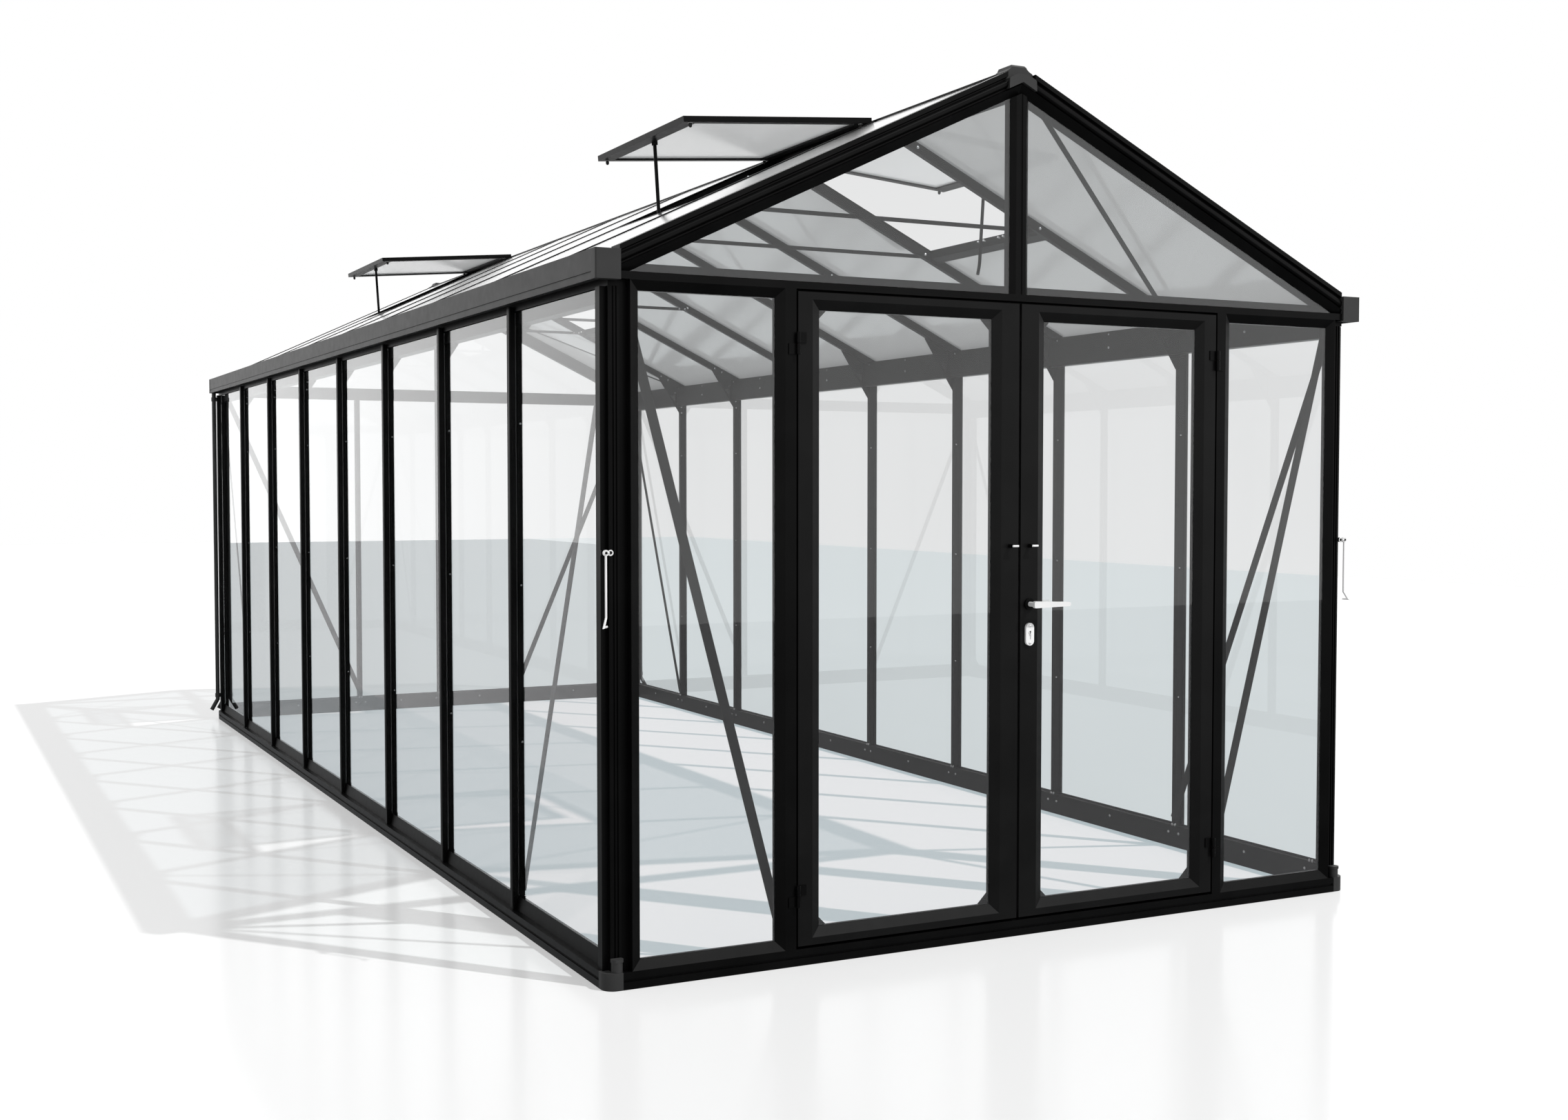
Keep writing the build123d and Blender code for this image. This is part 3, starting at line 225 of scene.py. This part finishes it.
def floor_material():
    """White floor that keeps the shadows.

    It has a look of its own where the camera sees it bare, through one pane, through two panes
    and mirrored, because the photo shows it greyer and bluer in glass.
    """
    material, tree = new_tree("floor_white")
    soft = add(tree, "ShaderNodeBsdfDiffuse")
    tree.links.new(ramp(tree, noise(tree, 0.35), grey(0.40), grey(0.41)), soft.inputs["Color"])
    near = add(tree, "ShaderNodeBsdfDiffuse", Color=(0.47, 0.38, 0.36, 1))
    far = add(tree, "ShaderNodeBsdfDiffuse", Color=grey(0.15))
    lit = summed(tree, soft.outputs[0], glossy(tree, 0.16, grey(0.14)))
    bare = summed(tree, lit, emission(tree, grey(1), 0.40))
    around = summed(tree, lit, emission(tree, grey(1), 0.1))
    one_pane = summed(tree, near.outputs[0], emission(tree, (0.74, 0.93, 1, 1), 0.46))
    two_panes = summed(tree, far.outputs[0], emission(tree, (0.90, 0.98, 1, 1), 0.55))
    mirrored = emission(tree, (0.95, 0.98, 1, 1), 0.42)

    # A pane has two faces, so a ray through two panes has crossed more than three
    path = add(tree, "ShaderNodeLightPath")
    crossed = add(tree, "ShaderNodeMath", operation="GREATER_THAN")
    tree.links.new(path.outputs["Transmission Depth"], crossed.inputs[0])
    crossed.inputs[1].default_value = 3
    in_glass = mixed(tree, crossed.outputs[0], one_pane, two_panes)
    body = mixed(tree, path.outputs["Is Transmission Ray"], around, in_glass)
    body = mixed(tree, path.outputs["Is Camera Ray"], body, bare)

    # Cycles calls a ray through clear glass glossy too, so those are taken off the mirrored ones
    only_mirrored = add(tree, "ShaderNodeMath", operation="SUBTRACT", use_clamp=True)
    tree.links.new(path.outputs["Is Glossy Ray"], only_mirrored.inputs[0])
    tree.links.new(path.outputs["Is Transmission Ray"], only_mirrored.inputs[1])
    surface(tree, mixed(tree, only_mirrored.outputs[0], body, mirrored))
    return material


BLACK = coated("frame_black", 6, 2, 0.36, 900.0, 0.08, specular=0.06)
LEAF = coated("leaf_black", 15, 2, 0.36, 900.0, 0.08, specular=0.08)
FASCIA = coated("gutter_black", 37, 3, 0.45, 900.0, 0.08, specular=0.12)
PLASTIC = coated("plastic_black", 44, 3, 0.55, 1300.0, 0.2, specular=0.2)
INNER = coated("brace_black", 20, 3, 0.42, 900.0, 0.08, specular=0.07)
WHITE = coated("white_metal", 226, 6, 0.32, 1100.0, 0.06)
BOLT = coated("bolt_dark", 150, 12, 0.2, 700.0, 0.05, metallic=0.8)
BRIGHT = coated("bolt_bright", 214, 12, 0.25, 700.0, 0.05, metallic=0.6)
# Black of the rubber buffers, also used as painted shade for the keyhole
RUBBER_AND_SHADE = coated("rubber_and_painted_shade_black", 14, 2, 0.6, 1500.0, 0.15, specular=0.3)
GLASS = pane_material("pane_clear", (0.990, 0.993, 0.994, 1), (0.955, 0.965, 0.965, 1), (0.93, 0.95, 0.95, 1))
SHEET = sheet_material("sheet_cloudy", 216, 182, 0.72)
# The lids get the roof sheet in a lighter and more translucent copy: painted light on the lids
LID_SHEET_LIT = sheet_material("lid_sheet_cloudy_painted_light", 234, 248, 0.70)

FINISHES = {
    SHEET: ("roof_panels_left", "roof_panels_right"),
    LID_SHEET_LIT: ("vent_panels",),
    WHITE: ("door_handle", "key_plate", "hook_left", "hook_right"),
    LEAF: ("door_left_frame", "door_right_frame", "door_left_gussets", "door_right_gussets"),
    PLASTIC: ("base_corners", "gutter_end_caps", "ridge_end_caps", "downpipes", "pipe_sockets"),
    FASCIA: ("gutters",),
    INNER: ("collar_ties", "knee_brackets", "wall_braces", "roof_braces"),
}


def finish_of(node):
    """The material of a node; what no list names is the black of the frame."""
    if "glass" in node:
        return GLASS
    for material, nodes in FINISHES.items():
        if node in nodes:
            return material
    return BLACK


for node_name, node_object in NODES.items():
    if not node_object.material_slots:
        node_object.data.materials.append(finish_of(node_name))
    for slot in node_object.material_slots:
        slot.material = finish_of(node_name)


# Forms of the added pieces, each as verts and faces
def facing(point, direction):
    """A matrix whose Z points along a direction from a point."""
    turn = Vector(direction).to_track_quat("Z", "Y").to_matrix().to_4x4()
    return Matrix.Translation(point) @ turn


def turned(rings, place, sides=16):
    """A turned form: (radius, height) rings along the local Z of a matrix."""
    verts, faces = [], []
    for radius, height in rings:
        for i in range(sides):
            a = 2 * math.pi * i / sides
            verts.append(place @ Vector((radius * math.cos(a), radius * math.sin(a), height)))
    for r in range(len(rings) - 1):
        for i in range(sides):
            j = (i + 1) % sides
            faces.append((r * sides + i, r * sides + j, (r + 1) * sides + j, (r + 1) * sides + i))
    faces.append(tuple(reversed(range(sides))))
    last = (len(rings) - 1) * sides
    faces.append(tuple(last + i for i in range(sides)))
    return verts, faces


def dome(point, direction, radius):
    """A flat round bolt head."""
    rings = [(radius, 0), (radius, 0.001)]
    rings += [(radius * math.cos(a), 0.001 + radius * 0.45 * math.sin(a)) for a in (0.5, 1.0, 1.4)]
    return turned(rings, facing(point, direction))


def ring(centre, axis, radius, thickness, turns=28, sides=10):
    """A round wire bent to a closed ring."""
    place = facing(centre, axis)
    verts, faces = [], []
    for i in range(turns):
        a = 2 * math.pi * i / turns
        for k in range(sides):
            b = 2 * math.pi * k / sides
            r = radius + thickness * math.cos(b)
            verts.append(place @ Vector((r * math.cos(a), r * math.sin(a), thickness * math.sin(b))))
    for i in range(turns):
        for k in range(sides):
            n, m = (i + 1) % turns, (k + 1) % sides
            faces.append((i * sides + k, n * sides + k, n * sides + m, i * sides + m))
    return verts, faces


def smooth(obj):
    """Rounds the shading across soft edges only."""
    for polygon in obj.data.polygons:
        polygon.use_smooth = True
    obj.data.set_sharp_from_angle(angle=math.radians(30))


def add_piece(name, parts, material, body="house"):
    """One object made of several forms, which moves with a body."""
    verts, faces = [], []
    for part_verts, part_faces in parts:
        base = len(verts)
        verts += part_verts
        faces += [tuple(base + i for i in face) for face in part_faces]
    mesh = bpy.data.meshes.new(name)
    mesh.from_pydata(verts, [], faces)
    mesh.materials.append(material)
    mesh.validate()
    obj = bpy.data.objects.new(name, mesh)
    SCENE.collection.objects.link(obj)
    smooth(obj)
    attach(obj, body)


def roof_z(x, depth=0.0):
    """Height of the roof at a distance x from the centre line, at a depth below its surface."""
    return RIDGE - abs(x) * math.tan(PITCH) - depth / math.cos(PITCH)


def lid_point(side, y, run, drop):
    """A point on a lid, run down from its hinge and drop under its outer surface."""
    x = LID_HINGE_X + run * math.cos(LID_ANGLE) - drop * math.sin(LID_ANGLE)
    return Vector((side * x, y, LID_HINGE_Z - run * math.sin(LID_ANGLE) - drop * math.cos(LID_ANGLE)))


# Bolts on the inner faces of the base rails, round the feet of the bars and between them
RAIL_BOLT = 0.052                   # heights
FOOT_BOLT = 0.082
FOOT_BOLTS = ((-0.028, RAIL_BOLT), (0.028, RAIL_BOLT), (-0.007, FOOT_BOLT), (0.007, FOOT_BOLT))
parts = []
for side in BOTH_SIDES:
    inward = (-side, 0, 0)
    for y in BAY_LINES + CORNER_LINES:
        for step, height in FOOT_BOLTS:
            parts.append(dome((side * INNER_X, y + step, height), inward, HEAD))
    for y in BAY_CENTRES:
        parts.append(dome((side * INNER_X, y, RAIL_BOLT), inward, HEAD))
add_piece("bolts_base_sides", parts, BOLT)
parts = []
for x in BACK_BARS:
    for step, height in FOOT_BOLTS:
        parts.append(dome((x + step, INNER_Y, height), (0, -1, 0), HEAD))
for x in BACK_BAY_CENTRES:
    parts.append(dome((x, INNER_Y, RAIL_BOLT), (0, -1, 0), HEAD))
add_piece("bolts_base_back", parts, BOLT)

# Bolts on the eave beams, in their middle and along their upper edge
EAVE_MIDDLE = POST_TOP + 0.012
EAVE_EDGE = POST_TOP + 0.062
parts = []
for side in BOTH_SIDES:
    inward = (-side, 0, 0)
    for y in BAY_CENTRES:
        parts.append(dome((side * EAVE_X, y, EAVE_MIDDLE), inward, HEAD))
        parts.append(dome((side * EAVE_X, y, EAVE_EDGE), inward, SMALL_HEAD))
    for y in BAY_LINES:
        parts.append(dome((side * EAVE_X, y - 0.045, EAVE_EDGE), inward, SMALL_HEAD))
        parts.append(dome((side * EAVE_X, y + 0.03, POST_TOP + 0.03), inward, HEAD))
add_piece("bolts_eaves", parts, BOLT)

# Bolts through the knee plates and the ends of the ties, as (x, z)
KNEE_BOLTS = [(1.241, 1.752), (1.239, 1.786), (1.200, 1.868)]
KNEE_BOLTS += [(x, roof_z(x, 0.028)) for x in (1.155, 1.112)]
TIE_BOLTS = [(0.605, TIE_HEIGHT), (0.575, TIE_HEIGHT)]
parts = []
for y in BAY_LINES:
    inward = -1 if y > 0 else 1
    face = y + inward * (BAR_SIDE + PLATE)
    for side in BOTH_SIDES:
        for x, z in KNEE_BOLTS + TIE_BOLTS:
            parts.append(dome((side * x, face, z), (0, inward, 0), RAFTER_HEAD))
add_piece("bolts_plates", parts, BOLT)

# Studs on both sides of the wall bars' webs, and bolts on those of the rafters
STUD_X = INNER_X + 0.006
STUD_HEIGHTS = (0.55, 1.02, 1.5)
RAFTER_BOLTS = (0.13, SILL_X - 0.02)
parts = []
for y in BAY_LINES:
    for side in BOTH_SIDES:
        for height in STUD_HEIGHTS:
            for across in BOTH_SIDES:
                point = (side * STUD_X, y + across * BAR_SIDE, height)
                parts.append(dome(point, (0, across, 0), STUD_HEAD))
add_piece("studs_wall_bars", parts, BOLT)
parts = []
for y in BAY_LINES:
    for side in BOTH_SIDES:
        for x in RAFTER_BOLTS:
            for across in BOTH_SIDES:
                point = (side * x, y + across * BAR_SIDE, roof_z(x, 0.024))
                parts.append(dome(point, (0, across, 0), RAFTER_HEAD))
add_piece("bolts_rafters", parts, BRIGHT)

# Rubber buffers with washers under the corners of the lids
WASHER = [(0.0075, 0), (0.0075, 0.0012)]
BUFFER = [(0.0055, 0.0012), (0.0058, 0.008), (0.005, 0.012), (0.0025, 0.0145)]
BUFFER_RUNS = (0.035, LID_LENGTH - 0.028)
BUFFER_SIDE = LID_HALF - 0.015
buffers, washers = [], []
for y in VENT_CENTRES:
    for side in BOTH_SIDES:
        down = (-side * math.sin(LID_ANGLE), 0, -math.cos(LID_ANGLE))
        for run in BUFFER_RUNS:
            for across in BOTH_SIDES:
                place = facing(lid_point(side, y + across * BUFFER_SIDE, run, LID_THICKNESS), down)
                washers.append(turned(WASHER, place))
                buffers.append(turned(BUFFER, place))
add_piece("lid_buffers", buffers, RUBBER_AND_SHADE)
add_piece("lid_buffer_washers", washers, BRIGHT)

# Pins of the stays: beside the hole in the sill and where the closed stay is parked
PIN = [(0.0035, 0), (0.0035, 0.010), (0.002, 0.012)]
BY_THE_HOLE = (-0.018, 0.018)
PARKED = (-0.112, -0.142)
parts = []
for y in VENT_CENTRES:
    for side in BOTH_SIDES:
        for step in BY_THE_HOLE + PARKED:
            base = (side * SILL_X, y + step, roof_z(SILL_X, 0.012))
            parts.append(turned(PIN, facing(base, (-side, 0, 0.25)), 12))
add_piece("stay_pins", parts, BRIGHT)

# Screw eyes that the hooks hang in
EYE_RADIUS = 0.0062
EYE_WIRE = 0.0018
SHANK = [(0.0022, 0), (0.0022, 0.010)]
for side, name in ((-1, "screw_eye_left"), (1, "screw_eye_right")):
    x, y, z = side * (HOOK[0] - 0.0135), -HOOK[1] + 0.001, HOOK[2]
    eye = ring((x, y, z), (0, -1, 0), EYE_RADIUS, EYE_WIRE)
    shank = turned(SHANK, facing((x + side * 0.004, y - 0.0035, z), (side, 0, 0)), 12)
    add_piece(name, [eye, shank], WHITE, "house")

# Lock cylinder in the key plate, with its keyhole as thin black discs of painted shade on its face, and the
# plate's two screws
CYLINDER = [(0.0062, 0), (0.0062, 0.0032), (0.0056, 0.0038)]
CYLINDER_LIFT = 0.006               # over the plate's middle
KEYHOLE = ((0.008, 0.0022), (0.0055, 0.0014), (0.003, 0.0014))      # lift and radius
KEYHOLE_DEPTH = (0.0038, 0.0042)
SCREW_LIFTS = (-0.025, 0.025)
place = facing((LEVER_X, KEY_RECESS, KEY_HEIGHT + CYLINDER_LIFT), (0, -1, 0))
add_piece("key_cylinder", [turned(CYLINDER, place, 28)], BRIGHT, "door_right")
# Painted shade: thin black discs stand on the cylinder's face where the keyhole is, with no hole cut
parts = []
for lift, radius in KEYHOLE:
    place = facing((LEVER_X, KEY_RECESS, KEY_HEIGHT + lift), (0, -1, 0))
    parts.append(turned([(radius, depth) for depth in KEYHOLE_DEPTH], place, 12))
add_piece("keyhole_painted_shade", parts, RUBBER_AND_SHADE, "door_right")
parts = []
for lift in SCREW_LIFTS:
    parts.append(dome((LEVER_X, KEY_PLATE_FRONT, KEY_HEIGHT + lift), (0, -1, 0), SMALL_HEAD))
add_piece("key_screws", parts, BRIGHT, "door_right")

# White bars across the ends of the knobs
TURN_BAR = [(0.0023, 0), (0.0031, 0.001), (0.0031, 0.020), (0.0023, 0.021)]
for side, body in ((-1, "door_left"), (1, "door_right")):
    place = facing((side * LEVER_X - 0.004, KNOB_END - 0.001, KNOB_HEIGHT), (1, 0, 0))
    add_piece(body + "_knob_bar", [turned(TURN_BAR, place)], WHITE, body)

# Floor, just under the base; its far and right edges show through the glass, as in the photo
FLOOR_DROP = 0.0005
FLOOR_LEFT, FLOOR_RIGHT = -14.2, 16.1
FLOOR_NEAR, FLOOR_FAR = -14.2, 36
corners = [(FLOOR_LEFT, FLOOR_NEAR), (FLOOR_RIGHT, FLOOR_NEAR),
           (FLOOR_RIGHT, FLOOR_FAR), (FLOOR_LEFT, FLOOR_FAR)]
floor = bpy.data.meshes.new("floor")
floor.from_pydata([(x, y, 0) for x, y in corners], [], [(0, 1, 2, 3)])
floor.materials.append(floor_material())
floor_object = bpy.data.objects.new("floor", floor)
floor_object.location.z = -FLOOR_DROP
SCENE.collection.objects.link(floor_object)

# Camera, fitted to edges in the photo
PHOTO_WIDTH = 2273
FOCAL_PIXELS = 2537.14
CAMERA_DOWN = 0.0411                # radians
CAMERA_RIGHT = 0.4701
camera = bpy.data.cameras.new("camera")
camera.sensor_width = 36
camera.lens = FOCAL_PIXELS / PHOTO_WIDTH * camera.sensor_width
camera.clip_end = 200
camera_object = bpy.data.objects.new("camera", camera)
camera_object.location = (-2.9064, -7.2627, 1.3094)
camera_object.rotation_euler = Euler((math.pi / 2 - CAMERA_DOWN, 0.0, -CAMERA_RIGHT), "XYZ")
SCENE.collection.objects.link(camera_object)
SCENE.camera = camera_object

# Sun, high in front on the right, which gives the photo's shadows
TO_SUN = (0.95, -1.17, 1.87)
sun = bpy.data.lights.new("sun", "SUN")
sun.energy = 2.8
sun.angle = math.radians(0.8)
sun_object = bpy.data.objects.new("sun", sun)
sun_object.rotation_euler = Vector(TO_SUN).to_track_quat("Z", "Y").to_euler()
SCENE.collection.objects.link(sun_object)

# White surroundings: as light, and then as seen mirrored, through glass and straight
AMBIENT = 0.55
SEEN_WORLD = (("Is Glossy Ray", 1.6), ("Is Transmission Ray", 0.79), ("Is Camera Ray", 1.0))
world = bpy.data.worlds.new("world")
SCENE.world = world
world.use_nodes = True
sky = world.node_tree
sky.nodes.clear()
path = add(sky, "ShaderNodeLightPath")
value = add(sky, "ShaderNodeBackground", Color=grey(1), Strength=AMBIENT).outputs[0]
for flag, strength in SEEN_WORLD:
    seen = add(sky, "ShaderNodeBackground", Color=grey(1), Strength=strength)
    value = mixed(sky, path.outputs[flag], value, seen.outputs[0])
sky_out = add(sky, "ShaderNodeOutputWorld")
sky.links.new(value, sky_out.inputs["Surface"])
